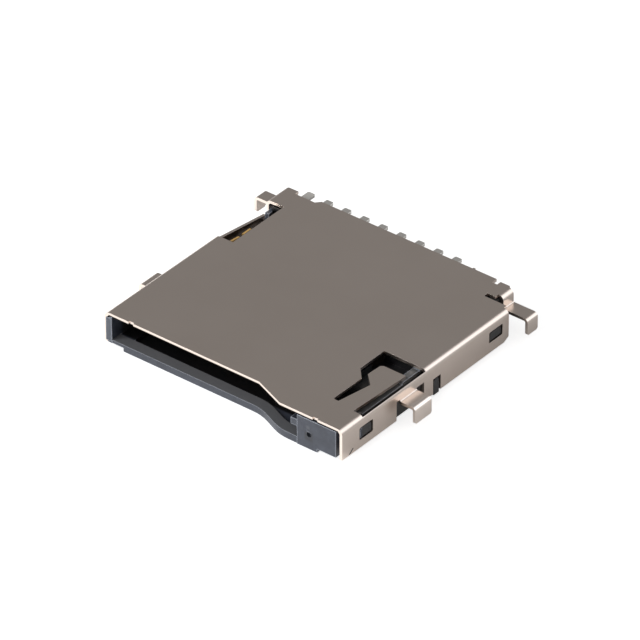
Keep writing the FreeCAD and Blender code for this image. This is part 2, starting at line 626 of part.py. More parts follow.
    sketch.setExpression("AttachmentOffset.Rotation.Angle", d.tongue_dip.text)
    sketch.setExpression("AttachmentOffset.Rotation.Axis.x", "-1")
    draw_loop(sketch, [
        (d.tongue_left_root, ZERO),
        (d.tongue_right, ZERO),
        (d.tongue_right, d.tongue_end - d.tongue_root),
        (d.tongue_left_head, d.tongue_end - d.tongue_root, d.tongue_corner),
        (d.tongue_left_head, d.tongue_head - d.tongue_root),
        (d.tongue_left_neck, d.tongue_neck - d.tongue_root),
    ])
    tongue = body.newObject("PartDesign::Pad", "tongue")
    tongue.Profile = sketch
    tongue.Length = d.sheet.value
    tongue.setExpression("Length", d.sheet.text)
    tongue.Reversed = True
    return body


def contact_profile():
    """Side view of a card contact: tail, drop through the rear wall, foot and rising arm."""
    t = d.contact_sheet
    top = d.board_top + t
    outer = d.contact_bend + t
    foot_top = d.contact_foot + t
    return [
        (TAIL_END, d.board_top),
        (TAIL_END, top),
        (d.contact_drop - t, top, outer),
        (d.contact_drop - t, foot_top, d.contact_bend),
        (d.arm_start, foot_top, d.arm_round),
        (d.arm_top, d.arm_height + t, d.arm_round + t),
        (d.arm_tip, d.arm_tip_height + t),
        (d.arm_tip, d.arm_tip_height),
        (d.arm_top, d.arm_height, d.arm_round),
        (d.arm_start, d.contact_foot, d.arm_round + t),
        (d.contact_drop, d.contact_foot, outer),
        (d.contact_drop, d.board_top, d.contact_bend),
    ]


def contact_x(index):
    """Middle of a card contact."""
    return d.pitch * index - d.first_contact


def cut_tail_corners(body, middle):
    """Take the corners off the end of a tail."""
    bevel(body, body.Name + "_corners", d.tail_corner, lambda place, way: (
        near(place.y, TAIL_END) and abs(way.z) > NEAR and near(abs(place.x - middle.value), d.contact_width / 2)))


def build_contact(index):
    """One card contact, drawn on the middle of the socket and moved to its place in the row."""
    body = new_body("contact_%d" % (index + 1))
    half = d.contact_width / 2
    add(body, body.Name + "_strip", "X", -half, half, contact_profile())
    cut_tail_corners(body, ZERO)
    place = contact_x(index)
    body.Placement.Base.x = place.value
    body.setExpression("Placement.Base.x", place.text)
    return body


def switch_tail_profile():
    """Side view of the switch tail: out over the board and up behind the springy leaf."""
    t = d.contact_sheet
    return [
        (TAIL_END, d.board_top),
        (TAIL_END, d.board_top + t),
        (d.leaf_root, d.board_top + t),
        (d.leaf_root, d.board_top),
    ]


def build_spring_leaf():
    """The springy switch leaf: a leaf on edge that the card pushes out, with a tail at the rear."""
    body = new_body("switch_spring_leaf")
    bump = -d.leaf_bump_x
    root = -d.leaf_root_x
    end = d.leaf_root + d.leaf * 3
    add(body, "leaf_on_edge", "Z", d.leaf_low, d.leaf_top, [
        (root, end),
        (root, d.leaf_bump_rear + d.leaf * 5, d.arm_round),
        (bump, d.leaf_bump_rear, d.arm_round),
        (bump, d.leaf_bump_front, d.arm_round),
        (root, d.leaf_tip),
        (root + d.leaf, d.leaf_tip),
        (bump + d.leaf, d.leaf_bump_front, d.arm_round),
        (bump + d.leaf, d.leaf_bump_rear, d.arm_round),
        (root + d.leaf, d.leaf_bump_rear + d.leaf * 5, d.arm_round),
        (root + d.leaf, end),
    ])
    lowered = d.leaf_top - d.leaf_step_deep
    cut(body, "lowered_edge", "X", root - d.leaf, bump + d.leaf * 3,
        box(d.leaf_bump_front, d.leaf_step, lowered, d.leaf_top),
        box(d.leaf_bump_rear, end, lowered, d.leaf_top))
    half = d.contact_width / 2
    middle = -d.switch_tail_x
    add(body, "switch_tail", "X", middle - half, middle + half, switch_tail_profile())
    cut_tail_corners(body, middle)
    return body


def build_fixed_leaf():
    """The fixed switch leaf: lies against the shell's left wall, with two pads for the springy leaf."""
    body = new_body("switch_fixed_leaf")
    outer = -INNER
    inner = outer + d.leaf
    corners = [(outer, d.fixed_front), (inner, d.fixed_front)]
    for start in (d.fixed_pad_1, d.fixed_pad_2):
        corners += [
            (inner, start),
            (inner + d.fixed_pad_reach, start + d.fixed_pad_reach),
            (inner + d.fixed_pad_reach, start + d.fixed_pad - d.fixed_pad_reach),
            (inner, start + d.fixed_pad),
        ]
    corners += [(inner, d.fixed_rear), (outer, d.fixed_rear)]
    add(body, "leaf_on_wall", "Z", d.fixed_low, d.fixed_top, corners)
    return body


BASE_TOP = PLATE_UNDER - d.top_gap
BASE_SIDE = INNER - d.base_gap
BAND_LEFT = LEFT_FRONT + d.band_setback
BAND_RIGHT = FRONT + d.band_setback
SLIDE_LEFT = d.slot_right + d.slide_gap
SLIDE_RIGHT = d.rail_inner - d.slide_gap
SLIDE_MIDDLE = (SLIDE_LEFT + SLIDE_RIGHT) / 2


def front_line(left, right, shift):
    """The front band's stepped line from left to right, moved back by a shift."""
    return [
        (left, BAND_LEFT + shift),
        (d.band_from, BAND_LEFT + shift, d.band_round),
        (d.band_to, BAND_RIGHT + shift, d.band_round),
        (right, BAND_RIGHT + shift),
    ]


def lug(body, name, side, front, rear, low, top):
    """A snap lug with rounded upper corners that stands out of the base into a window of the shell."""
    face = (HALF_WIDTH - d.lug_step) * side
    root = (BASE_SIDE - d.base_gap) * side
    ends = (root, face) if side > 0 else (face, root)
    corners = [(front, low), (rear, low), (rear, top, d.lug_round), (front, top, d.lug_round)]
    add(body, name, "X", *ends, corners)


def build_base():
    """The moulded base: floor, rails, front block, rear wall, lugs and the contacts' seats."""
    body = new_body("base_housing")
    add(body, "deep_floor", "Z", ZERO, d.floor_top, front_line(-d.deep_left, d.deep_right, ZERO) + [
        (d.deep_right, d.base_rear),
        (-d.deep_left, d.base_rear),
    ])
    add(body, "side_floor", "Z", d.side_underside, d.floor_top, front_line(-BASE_SIDE, d.block_right, ZERO) + [
        (d.block_right, d.block_rear),
        (BASE_SIDE, d.block_rear),
        (BASE_SIDE, d.wall_end - d.base_gap),
        (d.rear_right_end, d.wall_end - d.base_gap),
        (d.rear_right_end, d.base_rear),
        (-BASE_SIDE, d.base_rear),
    ])
    sunk_left = -d.deep_left + d.sunk_margin
    sunk_right = d.slot_right - d.guide_rib
    cut(body, "card_floor", "Z", d.card_floor, d.floor_top, front_line(sunk_left, sunk_right, d.band_deep) + [
        (sunk_right, d.rear_wall),
        (sunk_left, d.rear_wall),
    ])
    add(body, "left_rail", "Y", BAND_LEFT - d.band_setback, d.notch_front - d.notch_round, [
        (-BASE_SIDE, d.side_underside),
        (-d.slot_left, d.side_underside),
        (-d.slot_left, BASE_TOP),
        (-BASE_SIDE + d.rail_chamfer, BASE_TOP),
        (-BASE_SIDE, BASE_TOP - d.rail_chamfer),
    ])
    add(body, "front_block", "Z", ZERO, d.block_top, box(d.slot_right, d.deep_right, FRONT, d.block_rear))
    add(body, "front_block_side", "Z", d.side_underside, d.block_top, box(
        d.deep_right - d.sheet, d.block_right, FRONT, d.block_rear))
    add(body, "card_rib", "Y", BAND_RIGHT, d.block_rear, box(
        d.card_rib_left, d.slot_right + d.sheet, d.card_rib_low, d.card_rib_top))
    add(body, "guide_rib", "Y", d.block_rear - d.sheet, d.spring_wall + d.sheet, box(
        d.slot_right - d.guide_rib, d.slot_right, d.card_floor, d.guide_rib_top))
    add(body, "right_rail", "Y", d.block_rear - d.sheet, d.wall_end - d.base_gap, box(
        d.rail_inner, BASE_SIDE, d.side_underside, d.rail_top))
    add(body, "rear_wall", "Z", d.side_underside, BASE_TOP, [
        (-d.slot_left, d.post_front),
        (-d.post_inner, d.post_front),
        (-d.post_inner, d.rear_wall),
        (d.slot_right - d.guide_rib, d.rear_wall),
        (d.slot_right - d.guide_rib, d.spring_wall),
        (d.rail_inner, d.spring_wall),
        (d.rail_inner, d.wall_end - d.base_gap),
        (d.rear_right_end, d.wall_end - d.base_gap),
        (d.rear_right_end, d.base_rear),
        (-d.slot_left, d.base_rear),
    ])
    for name, side in (("left", -1), ("right", 1)):
        lug(body, name + "_first_lug", side, d.window_1_front + d.lug_gap, d.window_1_rear - d.lug_gap,
            d.window_1_low + d.lug_gap, d.window_1_top - d.lug_gap)
        lug(body, name + "_middle_lug", side, d.window_2_front + d.lug_gap, d.window_2_rear - d.lug_gap,
            d.wall_bottom - d.lug_hang, d.window_2_top - d.lug_gap)
    lug(body, "right_last_lug", 1, d.window_3_front + d.lug_gap, d.window_3_rear - d.lug_gap,
        d.window_3_low + d.lug_gap, d.window_3_top - d.lug_gap)
    first = contact_x(0)
    half = d.contact_width / 2 + d.window_gap
    opening = cut(body, "floor_opening", "Z", -d.sheet, d.floor_top, box(
        first - half, first + half, d.window_front, d.window_rear))
    repeat(body, opening, "floor_openings", "X_Axis", CONTACTS, d.pitch)
    half = d.contact_width / 2
    square_bends = [corner[:2] for corner in contact_profile()]
    seat = cut(body, "contact_seat", "X", first - half, first + half, square_bends)
    repeat(body, seat, "contact_seats", "X_Axis", CONTACTS, d.pitch)
    middle = -d.switch_tail_x
    cut(body, "switch_tail_seat", "X", middle - half, middle + half, switch_tail_profile())
    cut(body, "leaf_seat", "Z", d.leaf_low, d.leaf_top, box(
        -d.leaf_root_x, -d.leaf_root_x + d.leaf, d.post_front, d.leaf_root + d.leaf * 3))
    cut(body, "pin_hole", "Z", d.pin_root_low - d.pin_fit, d.block_top, (
        d.pin_x, d.pin_y, d.pin_wire / 2 + d.pin_fit))
    cut(body, "pin_groove", "Z", d.pin_z - d.pin_wire / 2 - d.pin_fit, d.block_top, box(
        d.pin_x - d.pin_wire / 2 - d.pin_swing, d.pin_x + d.pin_wire / 2 + d.pin_swing,
        d.pin_y, d.block_rear))
    cut(body, "dimple", "Y", FRONT, FRONT + d.dimple_deep, (d.dimple_x, d.dimple_z, d.dimple_radius))
    add(body, "spring_peg", "Y", d.spring_wall - d.peg_length, d.spring_wall, (
        SLIDE_MIDDLE, d.coil_z, d.peg_radius))
    return body


CAM_X = d.pin_x - d.pin_start
CAM_Y = d.pin_y + d.pin_length


def build_slider():
    """The slider: block with the heart cam, claw for the card, raised right edge, spring pocket."""
    body = new_body("slider")
    bottom = d.floor_top + d.slide_lift
    add(body, "block", "Z", bottom, d.slider_top, box(SLIDE_LEFT, SLIDE_RIGHT, d.slider_front, d.slider_rear))
    add(body, "right_edge", "X", d.slider_rail_left, SLIDE_RIGHT, [
        (d.slider_front, d.slider_top - d.sheet),
        (d.slider_rear, d.slider_top - d.sheet),
        (d.slider_rear, d.slider_rail_low),
        (d.slider_rail_rear, d.slider_rail_low),
        (d.slider_rail_rear, d.slider_rail_top, d.cut_round),
        (d.slider_rail_step, d.slider_rail_top, d.cut_round),
        (d.slider_rail_step, d.slider_rail_low),
        (d.slider_front, d.slider_rail_low),
    ])
    add(body, "rear_head", "Z", bottom, d.slider_rail_top, box(
        SLIDE_LEFT, SLIDE_RIGHT, d.slider_rail_rear, d.slider_rear))
    add(body, "claw", "Z", d.claw_low, d.claw_top, [
        (d.claw_left, d.claw_front + d.claw_slope),
        (d.claw_left + d.claw_slope, d.claw_front),
        (SLIDE_LEFT + d.sheet, d.claw_front),
        (SLIDE_LEFT + d.sheet, d.claw_front + d.claw_slope + d.claw_deep),
        (d.claw_left, d.claw_front + d.claw_slope + d.claw_deep),
    ])
    half = d.groove / 2
    far = CAM_Y - d.travel - half
    wide = CAM_Y - d.travel + half
    groove = [
        (CAM_X + half, CAM_Y + half, half / 2),
        (CAM_X - half, CAM_Y + half, half / 2),
        (CAM_X - half, CAM_Y - half),
        (CAM_X - d.cam_reach - half, wide),
        (CAM_X - d.cam_reach - half, far, half / 2),
        (CAM_X + d.cam_reach + half, far, half / 2),
        (CAM_X + d.cam_reach + half, wide),
        (CAM_X + half, CAM_Y - half),
    ]
    heart = [
        (CAM_X, CAM_Y - d.heart_back),
        (CAM_X - d.heart_half, wide),
        (CAM_X - d.heart_half / 2, wide - half / 2),
        (CAM_X, wide - half / 2 + d.heart_notch),
        (CAM_X + d.heart_half / 2, wide - half / 2),
        (CAM_X + d.heart_half, wide),
    ]
    cut(body, "heart_groove", "Z", d.slider_top - d.groove_deep, d.slider_top, groove, heart)
    cut(body, "spring_pocket", "Y", d.slider_rear - d.spring_pocket, d.slider_rear, (
        SLIDE_MIDDLE, d.coil_z, d.coil_radius + d.coil_wire / 2 + d.slide_gap))
    add(body, "spring_peg", "Y", d.slider_rear - d.spring_pocket, d.slider_rear - d.spring_pocket + d.peg_length, (
        SLIDE_MIDDLE, d.coil_z, d.peg_radius))
    return body


def build_pin():
    """The cam pin: a wire bent down at both ends, one end in the block and one in the groove."""
    body = new_body("cam_pin")
    path = new_sketch(body, "pin_path", "X", ZERO)
    places = [
        (ZERO, d.pin_root_low),
        (ZERO, d.pin_z),
        (d.pin_length, d.pin_z),
        (d.pin_length, d.pin_hook_low),
    ]
    bend = d.pin_bend
    points = [FreeCAD.Vector(across.value, up.value, 0) for across, up in places]
    r = bend.value
    first = path.addGeometry(Part.LineSegment(points[0], points[1] + FreeCAD.Vector(0, -r, 0)), False)
    top = path.addGeometry(Part.LineSegment(
        points[1] + FreeCAD.Vector(r, 0, 0), points[2] + FreeCAD.Vector(-r, 0, 0)), False)
    last = path.addGeometry(Part.LineSegment(points[2] + FreeCAD.Vector(0, -r, 0), points[3]), False)
    axis = FreeCAD.Vector(0, 0, 1)
    near_arc = path.addGeometry(Part.ArcOfCircle(
        Part.Circle(points[1] + FreeCAD.Vector(r, -r, 0), axis, r), math.pi / 2, math.pi), False)
    far_arc = path.addGeometry(Part.ArcOfCircle(
        Part.Circle(points[2] + FreeCAD.Vector(-r, -r, 0), axis, r), 0, math.pi / 2), False)
    path.addConstraint(Sketcher.Constraint("Tangent", first, 2, near_arc, 2))
    path.addConstraint(Sketcher.Constraint("Tangent", near_arc, 1, top, 1))
    path.addConstraint(Sketcher.Constraint("Tangent", top, 2, far_arc, 2))
    path.addConstraint(Sketcher.Constraint("Tangent", far_arc, 1, last, 1))
    fix(path, "Radius", (near_arc,), bend)
    fix(path, "Radius", (far_arc,), bend)
    fix_point(path, first, 1, *places[0])
    fix_point(path, last, 2, *places[3])
    path.addConstraint(Sketcher.Constraint("Vertical", first))
    path.addConstraint(Sketcher.Constraint("Horizontal", top))
    fix(path, "DistanceY", (-1, 1, top, 1), d.pin_z)
    ring = new_sketch(body, "pin_section", "Z", d.pin_root_low)
    draw_ring(ring, ZERO, ZERO, d.pin_wire / 2)
    doc.recompute()
    wire = body.newObject("PartDesign::AdditivePipe", "pin_wire")
    wire.Profile = ring
    wire.Spine = (path, [])
    body.Placement = FreeCAD.Placement(
        FreeCAD.Vector(d.pin_x.value, d.pin_y.value, 0),
        FreeCAD.Rotation(FreeCAD.Vector(0, 0, 1), math.degrees(math.asin(d.pin_start.value / d.pin_length.value))))
    body.setExpression("Placement.Base.x", d.pin_x.text)
    body.setExpression("Placement.Base.y", d.pin_y.text)
    body.setExpression("Placement.Rotation.Angle", "asin(%s / %s)" % (d.pin_start.text, d.pin_length.text))
    return body


def build_spring():
    """The slider's coil spring along Y, of eight-sided wire so that its many turns stay light."""
    length = d.spring_wall - (d.slider_rear - d.spring_pocket) - d.coil_wire
    start = d.slider_rear - d.spring_pocket + d.coil_wire / 2
    helix = doc.addObject("Part::Helix", "spring_line")
    helix.Radius = d.coil_radius.value
    helix.setExpression("Radius", d.coil_radius.text)
    helix.Height = length.value
    helix.setExpression("Height", length.text)
    helix.Pitch = (length / d.coil_turns).value
    helix.setExpression("Pitch", (length / d.coil_turns).text)
    ring = doc.addObject("Part::RegularPolygon", "spring_section")
    ring.Polygon = WIRE_SIDES
    ring.Circumradius = (d.coil_wire / 2).value
    ring.setExpression("Circumradius", (d.coil_wire / 2).text)
    ring.Placement = FreeCAD.Placement(
        FreeCAD.Vector(d.coil_radius.value, 0, 0), FreeCAD.Rotation(FreeCAD.Vector(1, 0, 0), 90))
    ring.setExpression("Placement.Base.x", d.coil_radius.text)
    sweep = doc.addObject("Part::Sweep", "slider_spring")
    sweep.Label = "slider_spring"
    sweep.Sections = [ring]
    sweep.Spine = (helix, ["Edge1"])
    sweep.Solid = True
    sweep.Frenet = True
    sweep.Placement = FreeCAD.Placement(
        FreeCAD.Vector(SLIDE_MIDDLE.value, start.value, d.coil_z.value),
        FreeCAD.Rotation(FreeCAD.Vector(1, 0, 0), -90))
    sweep.setExpression("Placement.Base.x", SLIDE_MIDDLE.text)
    sweep.setExpression("Placement.Base.y", start.text)
    sweep.setExpression("Placement.Base.z", d.coil_z.text)
    return sweep


pieces = [build_shell(), build_base()]
pieces += [build_contact(index) for index in range(CONTACTS)]
pieces += [build_spring_leaf(), build_fixed_leaf(), build_slider(), build_pin(), build_spring()]
doc.recompute()

troubled = [item.Name for item in doc.Objects if {"Invalid", "Error"} & set(item.State)]
if troubled:
    raise RuntimeError("features that did not build: %s" % ", ".join(troubled))
for piece in pieces:
    if piece.Shape.isNull() or not piece.Shape.isValid():
        raise RuntimeError("%s has no valid shape" % piece.Label)
    piece.Shape.exportStep("parts/%s.step" % piece.Label)
    print(piece.Label, len(piece.Shape.Solids), round(piece.Shape.Volume, 4))
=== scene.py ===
import math

import bmesh
import bpy
import numpy as np
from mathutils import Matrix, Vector


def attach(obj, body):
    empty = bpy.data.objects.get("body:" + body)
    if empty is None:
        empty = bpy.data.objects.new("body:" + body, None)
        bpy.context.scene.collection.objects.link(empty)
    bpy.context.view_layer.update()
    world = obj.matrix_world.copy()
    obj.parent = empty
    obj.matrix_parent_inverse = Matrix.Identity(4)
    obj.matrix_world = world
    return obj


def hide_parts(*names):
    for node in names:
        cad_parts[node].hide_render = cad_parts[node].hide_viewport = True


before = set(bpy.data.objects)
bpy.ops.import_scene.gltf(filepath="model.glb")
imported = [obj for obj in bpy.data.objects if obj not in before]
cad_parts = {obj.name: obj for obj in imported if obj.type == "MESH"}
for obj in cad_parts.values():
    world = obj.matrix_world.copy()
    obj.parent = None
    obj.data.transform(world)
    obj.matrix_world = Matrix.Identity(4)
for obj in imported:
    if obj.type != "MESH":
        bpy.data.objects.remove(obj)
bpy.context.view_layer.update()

MM = 0.001

# the photograph's view
VIEW_AZIMUTH = math.radians(38.51)
VIEW_ELEVATION = math.radians(34.50)
VIEW_DISTANCE = 374.6 * MM
VIEW_LENS = 454.1
VIEW_SENSOR = 36.0
VIEW_POINT = Vector((-0.15, 0.86, 1.85)) * MM
VIEW_SHIFT_RIGHT = -0.102 * MM
VIEW_SHIFT_UP = -1.095 * MM

# finish of the CAD forms: edges to break, edges to keep sharp, and what counts as one point or plane
EDGE_ANGLE = math.radians(38)
SHARP_ANGLE = math.radians(25)
WELD = 0.0005 * MM
FLAT_ANGLE = math.radians(0.4)

# how far the thin dark sheet that paints the shade of the slit at the foot of the right wall rises from
# level
SLIT_SLANT = math.radians(38.4)

# cloudy noise: its roughness, and the range that its values usually keep to
NOISE_ROUGHNESS = 0.55
NOISE_RANGE = (0.3, 0.7)

# what the metal mirrors: a dim sky, a bright panel behind on the right, a table that is bright in front
SKY = 0.26
PANEL_TOWARDS = Vector((0.60, 0.645, 0.475))
PANEL_COLOR = (1.62, 1.67, 1.74)
PANEL_EDGE = 0.80
PANEL_FULL = 0.975
TABLE_FRONT = 1.05
TABLE_NEAR = 0.19
TABLE_REAR = 0.04
TABLE_ACROSS = Vector((0.62, 0.78, 0.0))
FRONT_LINE = -1.5 * MM
NEAR_LINE = 0.3 * MM
REAR_LINE = 13.0 * MM
TABLE_SEEN = 0.78

# a patch of colour is a box in millimetres, how softly it fades, and its colour

# where light hardly reaches: the card room behind the front band, and the slider but for its right edge
UNLIT = (0.006, 0.006, 0.007)
ROOM_SOFT = 0.06
CARD_ROOM = (((-6.88, 4.60), (-5.66, 5.97), (0.12, 1.72)), ROOM_SOFT, UNLIT)
SLIDER_EDGE = ((6.42, 6.90), (-5.66, 5.97), (1.36, 1.70))

# the sheet: its two tones, the legs painted paler as painted light, and where they begin
SHEET_DARK = (0.755, 0.655, 0.585)
SHEET_LIGHT = (0.775, 0.675, 0.605)
LEG_PAINTED_LIGHT = (0.97, 0.86, 0.78)
LEG_PLACE = (7.80 * MM, 7.95 * MM)

# painted shade on the sheet: the wall before the leg, the bend beside the cut-out, the foot of the front
# edge
LEG_SHADE = (((7.10, 7.50), (-3.80, -3.05), (1.10, 1.45)), 0.30, (0.52, 0.44, 0.39))
CUT_BEND_SHADE = (((7.12, 7.50), (-5.35, -0.80), (1.715, 2.00)), 0.03, (0.36, 0.31, 0.28))
CUT_FOOT_SHADE = (((-7.06, 7.06), (-7.60, -6.25), (1.60, 1.735)), 0.012, (0.05, 0.045, 0.04))

# the contacts and leaves: their golds, the leaves' two gold points with a painted highlight and painted
# shade elsewhere on the leaves, and the tinned tails and their start
PLAIN_GOLD = (0.8, 0.56, 0.24)
CONTACT_GOLD = (0.86, 0.58, 0.22)
LEAF_GOLD = (1.0, 0.62, 0.20)
LEAF_SHADE = (0.035, 0.022, 0.010)
LEAF_POINTS = (((-8.0, -6.0), (2.26, 2.80), (1.32, 2.0)), ((-8.0, -6.0), (3.06, 3.66), (1.32, 2.0)))
TAIL_GREY = (0.92, 0.89, 0.84)
TAIL_PLACE = (6.3 * MM, 6.6 * MM)

# the plastics: their two tones each; the corner pieces' tones are a lighter copy of the base's as painted
# light, and the slider's are raised so its edge strip looks lit, as painted light
BASE_TONES = ((0.046, 0.053, 0.074), (0.086, 0.098, 0.130))
CORNER_LIT_TONES = ((0.10, 0.115, 0.145), (0.14, 0.155, 0.19))
SLIDER_TONES = ((0.15, 0.15, 0.15), (0.21, 0.21, 0.21))

# painted highlight along the moulded edges: its reach, the turn of the form where it begins and where it is
# full, its colour
EDGE_REACH = 0.06 * MM
EDGE_TURN = (0.99, 0.94)
EDGE_HIGHLIGHT_GREY = (0.72, 0.77, 0.87)

# where the base turns from bluish in front to a darker plain grey behind, as painted shade
FRONT_BLUE = (-5.62 * MM, -5.50 * MM)
SIDE_SHADE_GREY = (0.045, 0.045, 0.046)

# patches of the base: a painted highlight on top of the front band, painted shade round the dimple, and a
# painted highlight above the dimple
BAND_TOP_HIGHLIGHT = (((-6.95, 4.65), (-7.20, -5.72), (0.378, 0.43)), 0.012, (0.19, 0.195, 0.21))
DIMPLE_SHADE = (((5.12, 5.58), (-7.20, -6.80), (0.47, 0.93)), 0.05, (0.040, 0.044, 0.056))
DIMPLE_HIGHLIGHT = (((5.26, 5.36), (-7.20, -6.90), (1.12, 1.22)), 0.08, (0.26, 0.27, 0.29))


def view_directions(azimuth, elevation):
    """Unit vectors towards the camera, to its right and to its top."""
    back = Vector((
        math.sin(azimuth) * math.cos(elevation),
        -math.cos(azimuth) * math.cos(elevation),
        math.sin(elevation),
    ))
    right = Vector((math.cos(azimuth), math.sin(azimuth), 0.0))
    return back, right, back.cross(right)


def placed(name, data):
    """A new object in the scene."""
    thing = bpy.data.objects.new(name, data)
    bpy.context.scene.collection.objects.link(thing)
    return thing


def add_camera():
    """The camera at the photograph's viewing angle."""
    back, right, up = view_directions(VIEW_AZIMUTH, VIEW_ELEVATION)
    aim = VIEW_POINT + right * VIEW_SHIFT_RIGHT + up * VIEW_SHIFT_UP
    data = bpy.data.cameras.new("photo_camera")
    data.lens = VIEW_LENS
    data.sensor_width = VIEW_SENSOR
    data.clip_start = 0.01
    data.clip_end = 10.0
    camera = placed("photo_camera", data)
    camera.location = aim + back * VIEW_DISTANCE
    camera.rotation_euler = back.to_track_quat("Z", "Y").to_euler()
    bpy.context.scene.camera = camera


class Graph:
    """A shader tree with short ways to add the nodes used here."""

    def __init__(self, tree):
        self.tree = tree

    def add(self, kind, **settings):
        """One node with its settings."""
        node = self.tree.nodes.new(kind)
        for name, value in settings.items():
            setattr(node, name, value)
        return node

    def link(self, source, target):
        """One wire."""
        self.tree.links.new(source, target)

    def ranged(self, value, low, high, to_low, to_high, smooth=False):
        """A number that runs between two levels while the value runs between two others."""
        node = self.add("ShaderNodeMapRange", interpolation_type="SMOOTHSTEP" if smooth else "LINEAR")
        for name, level in (("From Min", low), ("From Max", high), ("To Min", to_low), ("To Max", to_high)):
            node.inputs[name].default_value = level
        self.link(value, node.inputs["Value"])
        return node.outputs["Result"]

    def calculated(self, operation, first, second):
        """The result of one operation on two wired numbers."""
        node = self.add("ShaderNodeMath", operation=operation)
        self.link(first, node.inputs[0])
        self.link(second, node.inputs[1])
        return node.outputs[0]

    def scaled(self, value, factor):
        """A wired number times a constant."""
        node = self.add("ShaderNodeMath", operation="MULTIPLY")
        node.inputs[1].default_value = factor
        self.link(value, node.inputs[0])
        return node.outputs[0]

    def blended(self, factor, first, second):
        """A colour between two, by a factor; either may be a wire or a plain colour."""
        node = self.add("ShaderNodeMix", data_type="RGBA")
        for name, color in (("A", first), ("B", second)):
            if isinstance(color, tuple):
                node.inputs[name].default_value = (*color, 1.0)
            else:
                self.link(color, node.inputs[name])
        self.link(factor, node.inputs["Factor"])
        return node.outputs["Result"]

    def axis(self, vector, name):
        """One coordinate of a wired vector."""
        node = self.add("ShaderNodeSeparateXYZ")
        self.link(vector, node.inputs["Vector"])
        return node.outputs[name]


class Recipe(Graph):
    """A procedural material under construction, begun with plain values that wires may replace."""

    def __init__(self, name, color, roughness, metallic=0.0):
        self.material = bpy.data.materials.new(name)
        self.material.use_nodes = True
        super().__init__(self.material.node_tree)
        self.shader = self.tree.nodes["Principled BSDF"]
        self.set_shader("Base Color", (*color, 1.0))
        self.set_shader("Roughness", roughness)
        self.set_shader("Metallic", metallic)
        self.place = self.add("ShaderNodeTexCoord").outputs["Object"]

    def set_shader(self, socket, value):
        """A plain value on one socket of the shader."""
        self.shader.inputs[socket].default_value = value

    def wire_shader(self, socket, source):
        """A wired value on one socket of the shader."""
        self.link(source, self.shader.inputs[socket])

    def noise(self, scale, detail):
        """Cloudy noise in Object coordinates, with its scale along X, Y and Z in waves per metre."""
        mapping = self.add("ShaderNodeMapping")
        mapping.inputs["Scale"].default_value = scale
        self.link(self.place, mapping.inputs["Vector"])
        node = self.add("ShaderNodeTexNoise")
        node.inputs["Scale"].default_value = 1.0
        node.inputs["Detail"].default_value = detail
        node.inputs["Roughness"].default_value = NOISE_ROUGHNESS
        self.link(mapping.outputs["Vector"], node.inputs["Vector"])
        return node.outputs["Fac"]

    def between(self, factor, low, high):
        """A number that runs from low to high as noise runs through its usual range."""
        return self.ranged(factor, *NOISE_RANGE, low, high)

    def within(self, room, soft):
        """One inside a box of Object coordinates in millimetres, nothing outside it, with soft sides."""
        inside = None
        for name, (low, high) in zip("XYZ", room):
            place = self.axis(self.place, name)
            above = self.ranged(place, (low - soft) * MM, (low + soft) * MM, 0.0, 1.0)
            below = self.ranged(place, (high - soft) * MM, (high + soft) * MM, 1.0, 0.0)
            both = self.calculated("MULTIPLY", above, below)
            inside = both if inside is None else self.calculated("MULTIPLY", inside, both)
        return inside

    def patched(self, color, patch):
        """A colour that changes to the patch's own inside the patch."""
        box, soft, other = patch
        return self.blended(self.within(box, soft), color, other)

    def edges(self, reach):
        """One along the edges of the form to a distance, nothing on the flat faces between them."""
        rounded = self.add("ShaderNodeBevel", samples=8)
        rounded.inputs["Radius"].default_value = reach
        turned = self.add("ShaderNodeVectorMath", operation="DOT_PRODUCT")
        self.link(rounded.outputs["Normal"], turned.inputs[0])
        self.link(self.add("ShaderNodeNewGeometry").outputs["True Normal"], turned.inputs[1])
        return self.ranged(turned.outputs["Value"], *EDGE_TURN, 0.0, 1.0)

    def relief(self, height, distance, strength):
        """Bump of a real depth in metres."""
        node = self.add("ShaderNodeBump")
        node.inputs["Distance"].default_value = distance
        node.inputs["Strength"].default_value = strength
        self.link(height, node.inputs["Height"])
        self.link(node.outputs["Normal"], self.shader.inputs["Normal"])


def plated_sheet():
    """The shell: satin plated sheet with a faint rolled grain across it."""
    recipe = Recipe("plated_sheet", (0.76, 0.66, 0.59), 0.30, metallic=1.0)
    grain = recipe.noise((260.0, 5200.0, 5200.0), detail=4.0)
    cloud = recipe.noise((300.0, 300.0, 300.0), detail=2.0)
    recipe.wire_shader("Roughness", recipe.between(cloud, 0.29, 0.32))
    color = recipe.blended(recipe.between(cloud, 0.0, 1.0), SHEET_DARK, SHEET_LIGHT)
    # painted light: the sheet painted paler on the legs
    leg = recipe.ranged(recipe.axis(recipe.place, "X"), *LEG_PLACE, 0.0, 1.0)
    color = recipe.blended(leg, color, LEG_PAINTED_LIGHT)
    # painted shade: three darker patches on the sheet
    for patch in (LEG_SHADE, CUT_BEND_SHADE, CUT_FOOT_SHADE):
        color = recipe.patched(color, patch)
    recipe.wire_shader("Base Color", color)
    recipe.relief(grain, 0.0008 * MM, 0.5)
    return recipe.material


def base_shading(recipe, color):
    """Painted highlight on top of the front band and above the dimple, painted shade round the dimple,
    darker plain grey behind the front as painted shade, and unlit in the card room.
    """
    # painted highlights on the band top and above the dimple, painted shade round the dimple
    for patch in (BAND_TOP_HIGHLIGHT, DIMPLE_SHADE, DIMPLE_HIGHLIGHT):
        color = recipe.patched(color, patch)
    # painted shade: darker plain grey behind the front
    behind = recipe.ranged(recipe.axis(recipe.place, "Y"), *FRONT_BLUE, 0.0, 1.0)
    return recipe.patched(recipe.blended(behind, color, SIDE_SHADE_GREY), CARD_ROOM)


def slider_shading(recipe, color):
    """Unlit but for the edge strip that the cut-out shows."""
    return recipe.blended(recipe.within(SLIDER_EDGE, ROOM_SOFT), UNLIT, color)


